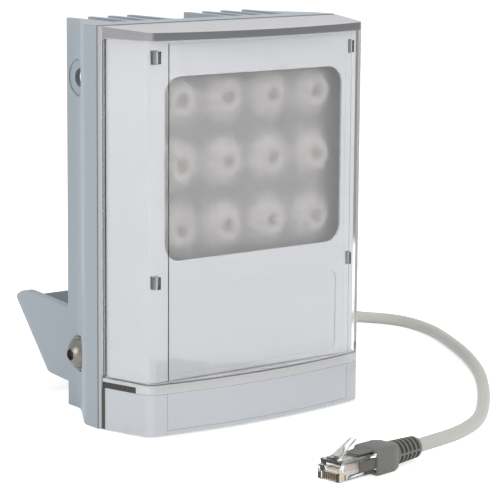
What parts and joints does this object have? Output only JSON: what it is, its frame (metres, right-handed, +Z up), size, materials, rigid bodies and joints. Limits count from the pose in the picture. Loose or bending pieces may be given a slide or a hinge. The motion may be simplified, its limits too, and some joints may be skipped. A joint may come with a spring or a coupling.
{
  "type": "white light illuminator",
  "caption": "White light illuminator for outdoor cameras: finned cast body, clear bowed cover over a lens array, tilting U bracket and a network cable.",
  "frame": {"origin": "middle of the lamp's width, on the plane of the flat foot and of the cast body's front face", "axes": "+Z up, -Y the way the light shines, +X to the right for someone who looks at the front"},
  "size_m": [0.2642, 0.2635, 0.18],
  "materials": {
    "coat": "satin",
    "bracket_coat": "satin",
    "clear_cover": "gloss",
    "cap_tint": "gloss",
    "white_frame": "satin",
    "frosted_pane": "matte",
    "black_seal": "matte",
    "brass_insert": "satin",
    "steel": "satin",
    "thermal_sheet": "matte",
    "white_board": "satin",
    "green_board": "satin",
    "emitter": "gloss",
    "holder": "matte",
    "lens": "gloss",
    "ferrite": "matte",
    "winding": "satin",
    "capacitor": "gloss",
    "terminal": "satin",
    "chip": "satin",
    "gland_grey": "satin",
    "cord_grey": "satin",
    "boot_grey": "satin",
    "clear_plug": "gloss",
    "contact_gold": "gloss",
    "wire_tan": "satin"
  },
  "bodies": {
    "housing": {"heatsink_body": "coat", "front_cover": "clear_cover", "foot_cap": "cap_tint", "cap_inserts": "brass_insert", "cap_screws": "steel", "side_seals": "black_seal", "inner_frame": "white_frame", "front_plate": "white_frame", "diffuser_pane": "frosted_pane", "cover_seal": "black_seal", "clamp_screws": "steel", "thermal_pad": "thermal_sheet", "led_board": "white_board", "board_screws": "steel", "led_emitters": "emitter", "lens_holders": "holder", "led_lenses": "lens", "driver_board": "green_board", "driver_pillars": "steel", "driver_screws": "steel", "transformer_core": "ferrite", "transformer_winding": "winding", "capacitors": "capacitor", "terminal_block": "terminal", "driver_chips": "chip", "gland_body": "gland_grey", "gland_nut": "gland_grey", "gland_seal": "black_seal", "network_cable": "cord_grey", "plug_boot": "boot_grey", "network_plug": "clear_plug", "plug_contacts": "contact_gold", "plug_wires": "wire_tan"},
    "yoke": {"u_bracket": "bracket_coat", "pivot_bolts": "steel", "pivot_washers": "steel", "pivot_nuts": "steel"}
  },
  "joints": [
    {"name": "bracket_tilt", "type": "hinge", "parent": "housing", "child": "yoke", "pos_m": [0, 0.0365, 0.026], "axis": [1, 0, 0], "range_deg": [-90, 60]}
  ]
}
